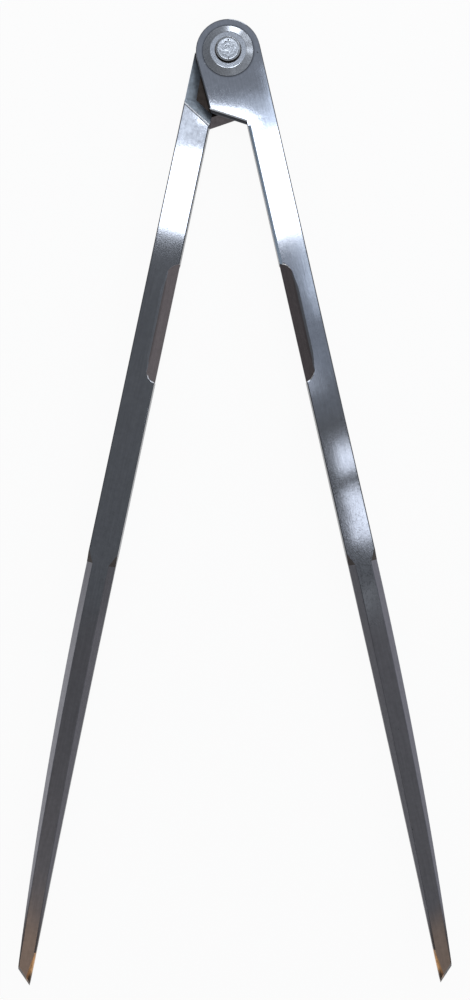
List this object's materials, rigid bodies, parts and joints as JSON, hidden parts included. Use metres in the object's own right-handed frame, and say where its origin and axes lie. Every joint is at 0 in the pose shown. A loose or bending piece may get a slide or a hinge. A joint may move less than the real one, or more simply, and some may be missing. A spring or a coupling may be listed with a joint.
{
  "type": "layout compass",
  "caption": "Steel layout compass: flat tapering legs on a riveted lap joint, with bevelled washers, finger notches and brazed carbide scribing points.",
  "frame": {"origin": "on the pivot axis, at the rear end face of the rivet, which touches the bench when the compass is laid down", "axes": "+Z along the pivot axis out of the front face, -Y from the pivot to midway between the points, +X towards the leg whose head plate lies in front"},
  "size_m": [0.132, 0.293, 0.0115],
  "materials": {
    "leg_steel": "ground and hand polished, dark towards the points",
    "washer_steel": "turned",
    "rivet_steel": "hammered end, pitted",
    "carbide": "ground, dull grey",
    "braze_brass": "as brazed, heat tinted"
  },
  "bodies": {
    "right_side": {"right_leg": "leg_steel", "pivot_rivet": "rivet_steel", "front_washer": "washer_steel", "rear_washer": "washer_steel", "right_carbide_tip": "carbide", "right_braze": "braze_brass"},
    "left_side": {"left_leg": "leg_steel", "left_carbide_tip": "carbide", "left_braze": "braze_brass"}
  },
  "joints": [
    {"name": "leg_pivot", "type": "hinge", "parent": "right_side", "child": "left_side", "pos_m": [0, 0, 0.00575], "axis": [0, 0, -1], "range_deg": [-24.9, 155.1]}
  ]
}
